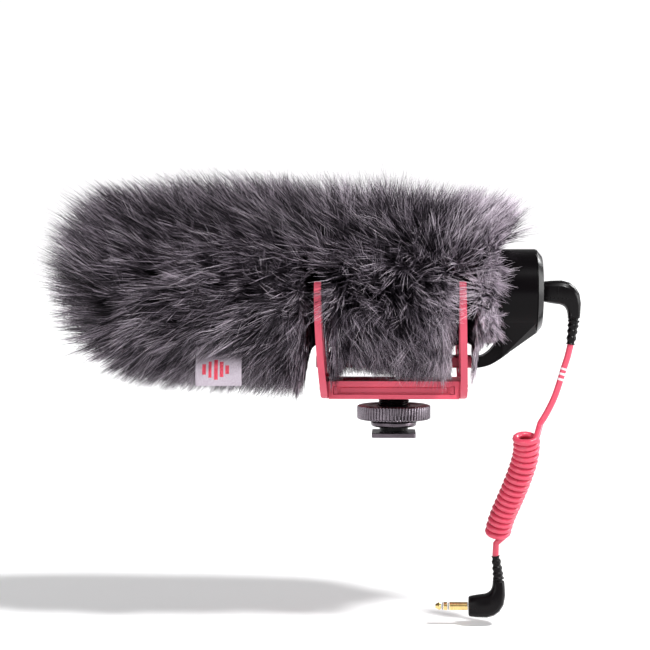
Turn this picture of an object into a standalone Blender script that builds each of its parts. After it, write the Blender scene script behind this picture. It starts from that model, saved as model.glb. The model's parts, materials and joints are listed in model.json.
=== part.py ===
"""Furry windscreen on its camera-top microphone: lyre cradle, shoe foot, foam, fur cover and curly lead.

Metres, +Z up. The origin is the centre of the shoe foot's underside. The microphone's axis runs along X,
its front points to -X, and the plug goes in from +X.
"""

import math

import bmesh
import bpy
from mathutils import Matrix, Vector

# Driving dimensions
GAP = 0.0003                 # left between pieces that touch
AXIS_Z = 0.0594              # height of the microphone's axis above the shoe foot's underside

FOOT_SIZE = (0.0180, 0.0186, 0.0019)
RAIL_SLOT = 0.0021           # a camera shoe's rails fit between the foot and the clamp washer
THREAD_RADIUS = 0.00645
THREAD_DEPTH = 0.00055
THREAD_PITCH = 0.0010
STUD_BORE = 0.0069           # hole through the wheel and the washer
WASHER_RADIUS = 0.0094
WASHER_HEIGHT = 0.0026
WHEEL_RADIUS = 0.0151
WHEEL_HEIGHT = 0.0060
WHEEL_TEETH = 66
TOOTH_DEPTH = 0.00050

BASE_BOTTOM = 0.0162
BASE_HEIGHT = 0.0073
BASE_WIDTH = 0.0260
LYRE_PLANE = 0.02805         # distance of each lyre's middle from the stud's axis
LYRE_DEPTH = 0.0027
LYRE_STRIP = 0.0022
FRONT_LEAN = 0.0021          # how far each lyre's top leans towards the nose
REAR_LEAN = 0.0009
RAIL_SIZE = (0.0090, 0.0050)
RAIL_Z = -0.0286             # the rail's middle, below the microphone's axis
CLIP_WALL = 0.0018
SUSPENSION_TRAVEL = 0.0022

HOUSING_RADIUS = 0.0174
HOUSING_FRONT = 0.0342
HOUSING_REAR = 0.0576
CAP_REAR = 0.0603
CAP_CHAMFER = 0.0027
ARM_END = 0.0320
ARM_HALF_WIDTH = 0.0052
TUBE_RADIUS = 0.0105
TUBE_FRONT = -0.1010
JACK_BORE = 0.00195

FOAM_RADIUS = 0.0172
FOAM_NOSE = -0.1067
SLEEVE_INNER = 0.0177
CLOTH = 0.0010
SLEEVE_REAR = 0.0414
NOSE_SEAM = -0.0963
FUR_RADIUS = 0.0410
FUR_NOSE = -0.1370

CORD_RADIUS = 0.00135
COIL_RADIUS = 0.0056

RED = ("red_elastomer", (0.62, 0.07, 0.12), 0.50, 0.0)
RED_CORD = ("red_cord", (0.80, 0.06, 0.16), 0.35, 0.0)
BLACK = ("black_plastic", (0.012, 0.012, 0.014), 0.35, 0.0)
BLACK_METAL = ("black_metal", (0.03, 0.03, 0.033), 0.30, 0.9)
RUBBER = ("black_rubber", (0.015, 0.015, 0.015), 0.60, 0.0)
STEEL = ("steel", (0.55, 0.55, 0.56), 0.30, 1.0)
GOLD = ("gold_contact", (0.85, 0.62, 0.25), 0.22, 1.0)
BOARD = ("board_green", (0.02, 0.13, 0.06), 0.45, 0.0)
FOAM = ("grey_foam", (0.05, 0.05, 0.055), 0.95, 0.0)
KNIT = ("knit_backing", (0.06, 0.06, 0.065), 0.90, 0.0)
FUR = ("grey_fur", (0.16, 0.16, 0.18), 0.85, 0.0)
LABEL = ("white_label", (0.75, 0.72, 0.76), 0.80, 0.0)


def clear_scene():
    for obj in list(bpy.data.objects):
        bpy.data.objects.remove(obj)


def material(spec):
    name, colour, roughness, metallic = spec
    found = bpy.data.materials.get(name)
    if found:
        return found
    made = bpy.data.materials.new(name)
    made.use_nodes = True
    shader = made.node_tree.nodes["Principled BSDF"]
    shader.inputs["Base Color"].default_value = (*colour, 1.0)
    shader.inputs["Roughness"].default_value = roughness
    shader.inputs["Metallic"].default_value = metallic
    return made


def axis_empty(name, location):
    """An empty that carries the pieces of one moving body, on its joint's axis."""
    empty = bpy.data.objects.new(name, None)
    empty.location = location
    bpy.context.scene.collection.objects.link(empty)
    return empty


def finish(name, bm, spec, parent):
    """Makes the closed bmesh an object called name, shaded smooth up to 35 degrees."""
    bmesh.ops.recalc_face_normals(bm, faces=bm.faces)
    mesh = bpy.data.meshes.new(name)
    bm.to_mesh(mesh)
    bm.free()
    mesh.shade_smooth()
    mesh.set_sharp_from_angle(angle=math.radians(35))
    mesh.materials.append(material(spec))
    obj = bpy.data.objects.new(name, mesh)
    obj.parent = parent
    bpy.context.scene.collection.objects.link(obj)
    return obj


def spin_profile(bm, profile, axis, segments, closed, centre=(0, 0, 0)):
    """Turns (along, radius) points round X or Z through centre."""
    place = {"X": lambda a, r: (a, 0, r), "Z": lambda a, r: (r, 0, a)}[axis]
    verts = [bm.verts.new(Vector(place(a, r)) + Vector(centre)) for a, r in profile]
    pairs = list(zip(verts, verts[1:]))
    if closed:
        pairs.append((verts[-1], verts[0]))
    edges = [bm.edges.new(pair) for pair in pairs]
    turn = Vector((1, 0, 0)) if axis == "X" else Vector((0, 0, 1))
    bmesh.ops.spin(bm, geom=verts + edges, cent=centre, axis=turn, angle=2 * math.pi,
                   steps=segments, use_merge=True)


def turned(name, profile, spec, parent, axis="X", segments=32, closed=True):
    """A solid of revolution. A closed profile makes a ring; an open one starts and ends on the axis."""
    bm = bmesh.new()
    spin_profile(bm, profile, axis, segments, closed)
    bmesh.ops.remove_doubles(bm, verts=bm.verts, dist=1e-6)
    return finish(name, bm, spec, parent)


def add_box(bm, low, high):
    made = bmesh.ops.create_cube(bm, size=1.0)["verts"]
    low, high = Vector(low), Vector(high)
    bmesh.ops.scale(bm, vec=high - low, verts=made)
    bmesh.ops.translate(bm, vec=(low + high) / 2, verts=made)


def box(name, low, high, spec, parent):
    bm = bmesh.new()
    add_box(bm, low, high)
    return finish(name, bm, spec, parent)


def stack(bm, rings, close):
    """Joins rings of the same number of points by quads. A closed stack is a loop of rings."""
    loops = [[bm.verts.new(p) for p in ring] for ring in rings]
    pairs = list(zip(loops, loops[1:]))
    if close:
        pairs.append((loops[-1], loops[0]))
    for a, b in pairs:
        for i in range(len(a)):
            j = (i + 1) % len(a)
            bm.faces.new((a[i], a[j], b[j], b[i]))
    if not close:
        bm.faces.new(loops[0])
        bm.faces.new(loops[-1])


def ring_at(z, radius, segments):
    """A ring round Z. radius is a number, or a function of the angle and the height."""
    size = radius if callable(radius) else lambda angle, height: radius
    angles = [2 * math.pi * i / segments for i in range(segments)]
    return [(size(a, z) * math.cos(a), size(a, z) * math.sin(a), z) for a in angles]


def plate(name, outlines, low, high, spec, parent, plane="YZ"):
    """A flat plate. The first outline is its edge and the rest are holes through it."""
    curve = bpy.data.curves.new(name, "CURVE")
    curve.dimensions = "2D"
    curve.fill_mode = "BOTH"
    curve.extrude = (high - low) / 2
    for outline in outlines:
        spline = curve.splines.new("POLY")
        spline.points.add(len(outline) - 1)
        spline.use_cyclic_u = True
        for point, (u, v) in zip(spline.points, outline):
            point.co = (u, v, 0, 1)
    flat = bpy.data.objects.new(name, curve)
    mesh = bpy.data.meshes.new_from_object(flat)
    bpy.data.objects.remove(flat)
    bm = bmesh.new()
    bm.from_mesh(mesh)
    bpy.data.meshes.remove(mesh)
    bmesh.ops.remove_doubles(bm, verts=bm.verts, dist=1e-7)
    across = Vector((1, 0, 0)) if plane == "YZ" else Vector((0, 1, 0))
    first = Vector((0, 1, 0)) if plane == "YZ" else Vector((1, 0, 0))
    turn = Matrix((first, (0, 0, 1), across)).transposed().to_4x4()
    bmesh.ops.transform(bm, matrix=Matrix.Translation(across * (low + high) / 2) @ turn, verts=bm.verts)
    return finish(name, bm, spec, parent)


def cutter(obj):
    obj.hide_render = True
    obj.display_type = "WIRE"
    return obj


def boolean(obj, other, operation):
    modifier = obj.modifiers.new(operation.lower(), "BOOLEAN")
    modifier.operation = operation
    modifier.solver = "EXACT"
    modifier.object = cutter(other)


def circle(radius, steps, centre=(0, 0)):
    angles = [2 * math.pi * i / steps for i in range(steps)]
    return [(centre[0] + radius * math.cos(a), centre[1] + radius * math.sin(a)) for a in angles]


def rounded_rectangle(width, height, radius, steps=3, centre=(0, 0)):
    points = []
    for quarter in range(4):
        sign_u = 1 if quarter in (0, 3) else -1
        sign_v = 1 if quarter in (0, 1) else -1
        corner = (centre[0] + sign_u * (width / 2 - radius), centre[1] + sign_v * (height / 2 - radius))
        for i in range(steps + 1):
            angle = math.pi / 2 * (quarter + i / steps)
            points.append((corner[0] + radius * math.cos(angle), corner[1] + radius * math.sin(angle)))
    return points


def smooth_line(points, per_span):
    """Points on a Catmull-Rom curve through the given points, the ends included."""
    given = [Vector(p) for p in points]
    padded = [2 * given[0] - given[1], *given, 2 * given[-1] - given[-2]]
    line = []
    for a, b, c, d in zip(padded, padded[1:], padded[2:], padded[3:]):
        for i in range(per_span):
            t = i / per_span
            line.append(0.5 * (2 * b + (c - a) * t + (2 * a - 5 * b + 4 * c - d) * t ** 2
                               + (3 * b - a - 3 * c + d) * t ** 3))
    line.append(given[-1])
    return line


def offset_line(line, distance):
    """The 2-D line moved sideways, to its left for a positive distance."""
    moved = []
    for i, p in enumerate(line):
        along = (line[min(i + 1, len(line) - 1)] - line[max(i - 1, 0)]).normalized()
        moved.append(p + distance * Vector((-along.y, along.x)))
    return moved


# Shoe foot, stud, wheel: turned round Z through the origin

def make_foot(parent):
    length, width, height = FOOT_SIZE
    corner = 0.0012
    outline = rounded_rectangle(length, width, corner)
    bm = bmesh.new()
    stack(bm, [[(x, y, z) for x, y in outline] for z in (0, height)], close=False)
    finish("shoe_foot", bm, BLACK_METAL, parent)


def thread_radius(angle, height):
    phase = (height / THREAD_PITCH - angle / (2 * math.pi)) % 1.0
    return THREAD_RADIUS - THREAD_DEPTH * abs(2 * phase - 1)


def make_stud(parent):
    """The threaded post between the foot and the base, with a spigot on top for the base's bore."""
    segments = 24
    bottom = FOOT_SIZE[2] + GAP
    top = BASE_BOTTOM - GAP
    thread_bottom = 0.0075
    rows = round((top - thread_bottom) / THREAD_PITCH * 3)
    spigot_radius, spigot_top = 0.0045, BASE_BOTTOM + 0.0046
    hole_radius, hole_bottom = 0.00145, BASE_BOTTOM
    root = THREAD_RADIUS - THREAD_DEPTH
    rings = [ring_at(bottom, root, segments), ring_at(thread_bottom, root, segments)]
    rings += [ring_at(thread_bottom + (top - thread_bottom) * (i + 1) / rows, thread_radius, segments)
              for i in range(rows)]
    rings += [ring_at(top, spigot_radius, segments), ring_at(spigot_top, spigot_radius, segments),
              ring_at(spigot_top, hole_radius, segments), ring_at(hole_bottom, hole_radius, segments)]
    bm = bmesh.new()
    stack(bm, rings, close=False)
    finish("threaded_stud", bm, BLACK, parent)


def make_washer(parent):
    low = FOOT_SIZE[2] + RAIL_SLOT
    high = low + WASHER_HEIGHT
    edge = 0.0007
    profile = [(low, STUD_BORE), (low, WASHER_RADIUS - edge), (low + edge, WASHER_RADIUS),
               (high - edge, WASHER_RADIUS), (high, WASHER_RADIUS - edge), (high, STUD_BORE)]
    turned("clamp_washer", profile, BLACK_METAL, parent, axis="Z", segments=40)
    return high


def make_wheel(low, parent):
    high = low + WHEEL_HEIGHT
    edge = 0.0009
    segments = 2 * WHEEL_TEETH

    def toothed(angle, _height):
        step = round(angle * WHEEL_TEETH / math.pi)
        return WHEEL_RADIUS - TOOTH_DEPTH * (step % 2)

    rim = WHEEL_RADIUS - edge
    rings = [ring_at(low, STUD_BORE, segments), ring_at(low, rim, segments),
             ring_at(low + edge, toothed, segments), ring_at(high - edge, toothed, segments),
             ring_at(high, rim, segments), ring_at(high, STUD_BORE, segments)]
    bm = bmesh.new()
    stack(bm, rings, close=True)
    finish("lock_wheel", bm, BLACK_METAL, parent)


def make_stud_screw(parent):
    """Pan-head screw that pulls the stud's spigot into the base."""
    floor = BASE_BOTTOM + 0.0049
    head, shank = 0.0030, 0.00115
    profile = [(floor - 0.0042, 0), (floor - 0.0042, shank), (floor + GAP, shank), (floor + GAP, head),
               (floor + 0.0013, head), (floor + 0.0019, head * 0.7), (floor + 0.0019, 0)]
    turned("stud_screw", profile, STEEL, parent, axis="Z", segments=16, closed=False)


# Cradle: base bar and two lyres

def make_base(parent):
    """The bar between the lyres: a channel along each side, a pocket on top and a bore for the spigot."""
    half_length = LYRE_PLANE - LYRE_DEPTH / 2 - GAP
    top = BASE_BOTTOM + BASE_HEIGHT
    width = BASE_WIDTH / 2
    channel_depth, channel_low, channel_high = 0.0014, 0.0019, 0.0052
    side = [(-width, BASE_BOTTOM), (width, BASE_BOTTOM), (width, top), (-width, top)]
    base = plate("cradle_base", [side], -half_length, half_length, RED, parent)
    pocket = box("cut_pocket", (-0.0210, -0.0080, BASE_BOTTOM + 0.0049), (0.0210, 0.0080, top + 0.002),
                 RED, parent)
    boolean(base, pocket, "DIFFERENCE")
    for sign in (-1, 1):
        inner, outer = sorted((sign * (width - channel_depth), sign * (width + 0.002)))
        channel = box("cut_channel", (-0.0246, inner, BASE_BOTTOM + channel_low),
                      (0.0246, outer, BASE_BOTTOM + channel_high), RED, parent)
        boolean(base, channel, "DIFFERENCE")
    bore = turned("cut_bore", [(BASE_BOTTOM - 0.002, 0), (BASE_BOTTOM - 0.002, 0.0048),
                               (BASE_BOTTOM + 0.0060, 0.0048), (BASE_BOTTOM + 0.0060, 0)],
                  RED, parent, axis="Z", segments=24, closed=False)
    boolean(base, bore, "DIFFERENCE")
    for x_sign in (-1, 1):
        for y, z in SCREW_PLACES:
            hole = turned("cut_screw_hole", [(-0.0075, 0), (-0.0075, 0.0012), (0.0075, 0.0012), (0.0075, 0)],
                          RED, parent, segments=10, closed=False)
            hole.location = (x_sign * half_length, y, z)
            boolean(base, hole, "DIFFERENCE")


SCREW_PLACES = ((-0.0098, 0.0204), (0.0098, 0.0204))
LYRE_PATH = ((0.0105, 0.0173), (0.0205, 0.0190), (0.0292, 0.0268), (0.0342, 0.0390), (0.0352, 0.0510),
             (0.0338, 0.0594), (0.0301, 0.0632), (0.0266, 0.0598), (0.0232, 0.0520), (0.0170, 0.0416),
             (0.0105, 0.0344))


def lyre_outlines():
    """The lyre's edge, the window between its arms, the rail's hole and the screw holes, in Y and Z."""
    line = smooth_line([Vector(p) for p in LYRE_PATH], 4)
    outer = offset_line(line, -LYRE_STRIP / 2)
    inner = offset_line(line, LYRE_STRIP / 2)
    plate_half, plate_top = BASE_WIDTH / 2, BASE_BOTTOM + BASE_HEIGHT
    clip_half = RAIL_SIZE[0] / 2 + GAP + CLIP_WALL
    clip_low = AXIS_Z + RAIL_Z - RAIL_SIZE[1] / 2 - GAP - CLIP_WALL
    clip_high = AXIS_Z + RAIL_Z + RAIL_SIZE[1] / 2 + GAP + CLIP_WALL
    edge = [(p.x, p.y) for p in outer] + [(clip_half, clip_high)]
    from_plate = [p for p in inner if p.x > plate_half or p.y > plate_top]
    window = [(plate_half, plate_top)] + [(p.x, p.y) for p in from_plate]
    window += [(clip_half, clip_low + 0.0052), (clip_half, clip_low)]
    mirrored = [[(-u, v) for u, v in reversed(side)] for side in (edge, window)]
    rail = rounded_rectangle(RAIL_SIZE[0] + 2 * GAP, RAIL_SIZE[1] + 2 * GAP, 0.0013,
                             centre=(0, AXIS_Z + RAIL_Z))
    holes = [circle(0.0013, 12, place) for place in SCREW_PLACES]
    return [edge + mirrored[0], window + mirrored[1], rail, *holes]


def make_lyres(parent):
    """Two flat plates whose arms lean a little towards the nose, more at the front one."""
    outlines = lyre_outlines()
    start, top = 0.0205, 0.0643
    for name, middle, lean in (("front_lyre", -LYRE_PLANE, FRONT_LEAN), ("rear_lyre", LYRE_PLANE, REAR_LEAN)):
        lyre = plate(name, outlines, middle - LYRE_DEPTH / 2, middle + LYRE_DEPTH / 2, RED, parent)
        for vertex in lyre.data.vertices:
            share = min(max((vertex.co.z - start) / (top - start), 0), 1)
            vertex.co.x -= lean * math.sin(share * math.pi / 2)


def make_lyre_screws(parent):
    """Four low-head screws along X, through the lyres' end plates into the base."""
    face = LYRE_PLANE + LYRE_DEPTH / 2 + GAP
    head, shank, length = 0.0017, 0.0009, 0.0085
    for end, sign in (("front", -1), ("rear", 1)):
        profile = [(sign * (face - length), 0), (sign * (face - length), shank), (sign * face, shank),
                   (sign * face, head), (sign * (face + 0.0002), head), (sign * (face + 0.0005), 0.0012),
                   (sign * (face + 0.0005), 0)]
        for side, (y, z) in zip(("near", "far"), SCREW_PLACES):
            screw = turned(f"{end}_screw_{side}", profile, STEEL, parent, segments=12, closed=False)
            screw.location = (0, y, z)


# Microphone: every piece below has its parent on the microphone's axis

def make_rail(parent):
    """The red bar that the lyres hold. Its tongue goes into the housing's arm."""
    front = -(LYRE_PLANE + LYRE_DEPTH / 2 + 0.0024)
    section = rounded_rectangle(*RAIL_SIZE, 0.0011, centre=(0, RAIL_Z))
    rail = plate("carriage_rail", [section], front, ARM_END - GAP, RED, parent)
    tongue = box("add_tongue", (ARM_END - 0.003, -0.0030, RAIL_Z - 0.0007),
                 (ARM_END + 0.0057, 0.0030, RAIL_Z + 0.0011), RED, parent)
    boolean(rail, tongue, "UNION")
    hole = turned("cut_tongue_hole", [(-0.034, 0), (-0.034, 0.00125), (-0.024, 0.00125), (-0.024, 0)],
                  RED, parent, axis="Z", segments=12, closed=False)
    hole.location.x = RAIL_SCREW_X
    boolean(rail, hole, "DIFFERENCE")


RAIL_SCREW_X = 0.0350


def make_rail_screw(parent):
    head_low = RAIL_Z - 0.0023
    profile = [(head_low, 0), (head_low, 0.0019), (head_low + 0.0007, 0.0019), (head_low + 0.0007, 0.00095),
               (RAIL_Z + 0.0012, 0.00095), (RAIL_Z + 0.0012, 0)]
    screw = turned("rail_screw", profile, STEEL, parent, axis="Z", segments=12, closed=False)
    screw.location.x = RAIL_SCREW_X


def convex(name, points, spec, parent):
    bm = bmesh.new()
    for p in points:
        bm.verts.new(p)
    made = bmesh.ops.convex_hull(bm, input=bm.verts)
    bmesh.ops.delete(bm, geom=made["geom_interior"], context="VERTS")
    return finish(name, bm, spec, parent)


def make_housing(parent):
    """The rear shell: a cylinder that slopes down and forward into the arm that takes the rail."""
    edge = 0.0008
    shell = turned("rear_housing", [(HOUSING_FRONT, 0), (HOUSING_FRONT, HOUSING_RADIUS - edge),
                                    (HOUSING_FRONT + edge, HOUSING_RADIUS), (HOUSING_REAR, HOUSING_RADIUS),
                                    (HOUSING_REAR, 0)],
                   BLACK, parent, segments=48, closed=False)
    wide, low = 0.0123, -0.0123
    corners = [(HOUSING_REAR - 0.0002, wide, low), (0.0440, wide, low), (HOUSING_REAR - 0.0002, 0.0060, -0.0170),
               (0.0440, 0.0056, -0.0180), (0.0462, 0.0056, -0.0250), (0.0440, 0.0056, -0.0266)]
    fin = convex("add_fin", [(x, s * y, z) for x, y, z in corners for s in (-1, 1)], BLACK, parent)
    under = smooth_line([Vector(p) for p in ((0.0470, -0.0246), (0.0426, -0.0278), (0.0380, -0.0302),
                                             (ARM_END, -0.0313))], 3)
    over = smooth_line([Vector(p) for p in ((ARM_END, -0.0263), (0.0358, -0.0262), (0.0395, -0.0236),
                                            (0.0425, -0.0192), (0.0450, -0.0140))], 3)
    outline = [(p.x, p.y) for p in under + over] + [(0.0480, -0.0140)]
    arm = plate("add_arm", [outline], -ARM_HALF_WIDTH, ARM_HALF_WIDTH, BLACK, parent, plane="XZ")
    boolean(shell, fin, "UNION")
    boolean(shell, arm, "UNION")
    inside = turned("cut_inside", [(0.0362, 0), (0.0362, 0.0156), (0.0620, 0.0156), (0.0620, 0)],
                    BLACK, parent, segments=48, closed=False)
    tube_hole = turned("cut_tube_hole", [(0.0300, 0), (0.0300, 0.0108), (0.0380, 0.0108), (0.0380, 0)],
                       BLACK, parent, segments=32, closed=False)
    pocket = box("cut_tongue", (ARM_END - 0.002, -0.0033, RAIL_Z - 0.0010),
                 (ARM_END + 0.0060, 0.0033, RAIL_Z + 0.0014), BLACK, parent)
    screw_hole = turned("cut_rail_screw", [(-0.034, 0), (-0.034, 0.0022), (RAIL_Z - 0.00155, 0.0022),
                                           (RAIL_Z - 0.00155, 0.00125), (RAIL_Z + 0.0016, 0.00125),
                                           (RAIL_Z + 0.0016, 0)],
                        BLACK, parent, axis="Z", segments=12, closed=False)
    screw_hole.location.x = RAIL_SCREW_X
    for other in (inside, tube_hole, pocket, screw_hole):
        boolean(shell, other, "DIFFERENCE")


def make_cap(parent):
    """The chamfered end of the housing, with a seat for the jack's trim ring."""
    front = HOUSING_REAR + GAP
    hole, seat, inner, spigot = 0.0034, 0.0053, 0.0132, 0.0152
    profile = [(front, HOUSING_RADIUS), (CAP_REAR - 0.0003, HOUSING_RADIUS - CAP_CHAMFER + 0.0001),
               (CAP_REAR, HOUSING_RADIUS - CAP_CHAMFER - 0.0004), (CAP_REAR, seat), (CAP_REAR - 0.0006, seat),
               (CAP_REAR - 0.0006, hole), (front + 0.0003, hole), (front + 0.0003, inner),
               (front - 0.0033, inner), (front - 0.0033, spigot), (front, spigot)]
    turned("rear_cap", profile, BLACK, parent, segments=48)
    ring_low = CAP_REAR - 0.0006 + GAP
    turned("jack_ring", [(ring_low, 0.0035), (ring_low, 0.0050), (ring_low + 0.0003, 0.0050),
                         (ring_low + 0.0005, 0.0047), (ring_low + 0.0005, 0.0035)],
           STEEL, parent, segments=24)


def make_electronics(parent):
    """Jack socket, board, the parts on it, the capsule in its boot and the two wires between them."""
    turned("jack_socket", [(0.0456, 0), (0.0456, 0.0046), (0.0574, 0.0046), (0.0574, 0.0031),
                           (0.0600, 0.0031), (0.0600, JACK_BORE), (0.0461, JACK_BORE), (0.0461, 0)],
           BLACK, parent, segments=20, closed=False)
    board_top = -0.0050
    box("circuit_board", (0.0385, -0.0100, board_top - 0.0016), (0.0540, 0.0100, board_top), BOARD, parent)
    rest = board_top + GAP
    for name, y in (("input_capacitor", -0.0075), ("output_capacitor", 0.0075)):
        can = turned(name, [(0, 0), (0, 0.0018), (0.0046, 0.0018), (0.0046, 0)], STEEL, parent, axis="Z",
                     segments=12, closed=False)
        can.location = (0.0425, y, rest)
    box("amplifier_chip", (0.0480, 0.0058, rest), (0.0520, 0.0092, rest + 0.0015), BLACK, parent)
    box("input_transistor", (0.0485, -0.0090, rest), (0.0510, -0.0062, rest + 0.0011), BLACK, parent)
    turned("capsule", [(0.0180, 0), (0.0180, 0.0044), (0.0186, 0.0049), (0.0240, 0.0049), (0.0240, 0)],
           STEEL, parent, segments=20, closed=False)
    turned("capsule_boot", [(0.0165, 0.0052), (0.0165, 0.0088), (0.0177, 0.0092), (0.0243, 0.0092),
                            (0.0255, 0.0088), (0.0255, 0.0052)], RUBBER, parent, segments=20)
    for name, y in (("signal_wire", -0.0014), ("ground_wire", 0.0014)):
        route = [Vector(p) for p in ((0.0243, y, 0), (0.0285, y, -0.0004), (0.0335, y * 1.3, -0.0026),
                                     (0.0400, y * 1.6, -0.0041))]
        bent_tube(name, smooth_line(route, 3), lambda i, count: 0.0004, 6, RUBBER, parent)


def tube_rings(line, radius_at, sides):
    """Rings round a line whose bends lie in one upright plane. radius_at takes a point's place in it."""
    rings = []
    for i, p in enumerate(line):
        along = (line[min(i + 1, len(line) - 1)] - line[max(i - 1, 0)]).normalized()
        side = Vector((0, 1, 0)).cross(along).normalized()
        up = along.cross(side)
        radius = radius_at(i, len(line))
        angles = [2 * math.pi * k / sides for k in range(sides)]
        rings.append([p + radius * (math.cos(a) * side + math.sin(a) * up) for a in angles])
    return rings


def bent_tube(name, line, radius_at, sides, spec, parent):
    bm = bmesh.new()
    stack(bm, tube_rings(line, radius_at, sides), close=False)
    return finish(name, bm, spec, parent)


def make_tube(parent):
    """The interference tube, with pairs of slots down both sides and along the top and bottom."""
    wall, rear = 0.0009, 0.0375
    tube = turned("mic_tube", [(TUBE_FRONT, TUBE_RADIUS - wall), (TUBE_FRONT, TUBE_RADIUS),
                               (rear, TUBE_RADIUS), (rear, TUBE_RADIUS - wall)],
                  BLACK_METAL, parent, segments=32)
    bm = bmesh.new()
    slot, spacing, reach, half = 0.0120, 0.0180, 0.0130, 0.0011
    for i in range(6):
        start = TUBE_FRONT + 0.0060 + i * spacing
        add_box(bm, (start, -reach, -half), (start + slot, reach, half))
    sides = finish("cut_side_slots", bm, BLACK_METAL, parent)
    bm = bmesh.new()
    for i in range(6):
        start = TUBE_FRONT + 0.0150 + i * spacing
        add_box(bm, (start, -half, -reach), (start + slot, half, reach))
    tops = finish("cut_top_slots", bm, BLACK_METAL, parent)
    boolean(tube, sides, "DIFFERENCE")
    boolean(tube, tops, "DIFFERENCE")
    nose = TUBE_FRONT - GAP
    turned("tube_nose_mesh", [(nose, 0), (nose, TUBE_RADIUS), (nose - 0.0014, TUBE_RADIUS),
                              (nose - 0.0021, TUBE_RADIUS - 0.0008), (nose - 0.0021, 0)],
           BLACK_METAL, parent, segments=32, closed=False)
    turned("tube_collar", [(0.0311, TUBE_RADIUS + GAP), (0.0311, 0.0124), (0.0317, 0.0130),
                           (HOUSING_FRONT - GAP, 0.0130), (HOUSING_FRONT - GAP, TUBE_RADIUS + GAP)],
           RUBBER, parent, segments=32)


# Foam and fur cover, all round the microphone's axis

def dome(start, length, radius, steps):
    """Quarter ellipse from the rim at start to the tip, length further towards -X."""
    angles = [math.pi / 2 * i / steps for i in range(steps + 1)]
    return [(start - length * math.sin(a), radius * math.cos(a)) for a in angles]


def make_foam(parent):
    bore, bore_end, rear = TUBE_RADIUS + GAP, TUBE_FRONT - 0.0030, 0.0307
    rim = -0.0940
    outside = dome(rim, rim - FOAM_NOSE, FOAM_RADIUS, 6)
    profile = [(bore_end, 0), (bore_end, bore), (rear, bore), (rear, FOAM_RADIUS), *outside]
    turned("foam_windshield", profile, FOAM, parent, segments=32, closed=False)


def make_sleeve(parent):
    """Knitted backing: a tube, its round nose panel, and the elastic in the rear hem."""
    outer = SLEEVE_INNER + CLOTH
    turned("windscreen_sleeve", [(NOSE_SEAM + GAP, SLEEVE_INNER), (NOSE_SEAM + GAP, outer),
                                 (SLEEVE_REAR, outer), (SLEEVE_REAR, SLEEVE_INNER)],
           KNIT, parent, segments=40)
    outside = dome(NOSE_SEAM, 0.0124, outer, 5)
    inside = dome(NOSE_SEAM, 0.0114, SLEEVE_INNER, 5)
    turned("nose_panel", list(reversed(inside)) + outside, KNIT, parent, segments=32, closed=False)
    low, start, end = outer + GAP, SLEEVE_REAR - 0.0032, SLEEVE_REAR - 0.0004
    turned("hem_elastic", [(start, low), (start, low + 0.0009), (end, low + 0.0009), (end, low)],
           KNIT, parent, segments=40)


LABEL_LINE = ((-0.0140, -0.0146), (-0.0232, -0.0222), (-0.0287, -0.0272), (-0.0302, -0.0325),
              (-0.0299, -0.0366))
LABEL_LOW, LABEL_HIGH = -0.0788, -0.0603


def label_strip(name, thickness, margin, spec, parent):
    """The label's bent strip, from the sleeve out through the pile, where it hangs down."""
    line = smooth_line([Vector(p) for p in LABEL_LINE], 3)
    one, other = offset_line(line, thickness / 2), offset_line(line, -thickness / 2)
    outline = [(p.x, p.y) for p in one + list(reversed(other))]
    return plate(name, [outline], LABEL_LOW - margin, LABEL_HIGH + margin, spec, parent)


def make_fur(parent):
    """The pile as three closed solids: before, between and behind the lyres, clear of their travel."""
    inner = SLEEVE_INNER + CLOTH + GAP
    clear = LYRE_DEPTH / 2 + SUSPENSION_TRAVEL + GAP
    front_end, rear_start = -LYRE_PLANE - clear - FRONT_LEAN, LYRE_PLANE + clear
    middle_start, middle_end = -LYRE_PLANE + clear, LYRE_PLANE - clear - REAR_LEAN
    rim = -0.1000
    outside = dome(rim, rim - FUR_NOSE, FUR_RADIUS - 0.0010, 9)
    inside = dome(NOSE_SEAM, 0.0128, inner, 5)
    profile = [*reversed(inside), (front_end, inner), (front_end, FUR_RADIUS - 0.0010),
               (-0.0650, FUR_RADIUS), *outside]
    front = turned("fur_front", profile, FUR, parent, segments=32, closed=False)
    boolean(front, label_strip("cut_label", 0.0012, GAP, FUR, parent), "DIFFERENCE")
    label_strip("side_label", 0.0005, 0, LABEL, parent)

    middle = turned("fur_middle", [(middle_start, inner), (middle_start, 0.0390), (0, 0.0400),
                                   (middle_end, 0.0390), (middle_end, inner)],
                    FUR, parent, segments=36)
    below_pile, below_rail = -0.0335, RAIL_Z + RAIL_SIZE[1] / 2 + 0.0030
    boolean(middle, box("cut_floor", (-0.03, -0.05, -0.05), (0.03, 0.05, below_pile), FUR, parent),
            "DIFFERENCE")
    boolean(middle, box("cut_rail", (-0.03, -0.0080, -0.05), (0.03, 0.0080, below_rail), FUR, parent),
            "DIFFERENCE")

    hem = inner + 0.0014
    rear = turned("fur_rear", [(rear_start, hem), (rear_start, 0.0375), (0.0440, 0.0365), (0.0495, 0.0310),
                               (0.0480, 0.0240), (0.0440, hem)],
                  FUR, parent, segments=36)
    slope = [(0.0300, -0.0255), (0.0520, -0.0070), (0.0520, -0.0600), (0.0300, -0.0600)]
    boolean(rear, plate("cut_slope", [slope], -0.05, 0.05, FUR, parent, plane="XZ"), "DIFFERENCE")


# Lead: plug, curly cord and end plug

PLUG_FACE = 0.0608
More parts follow.
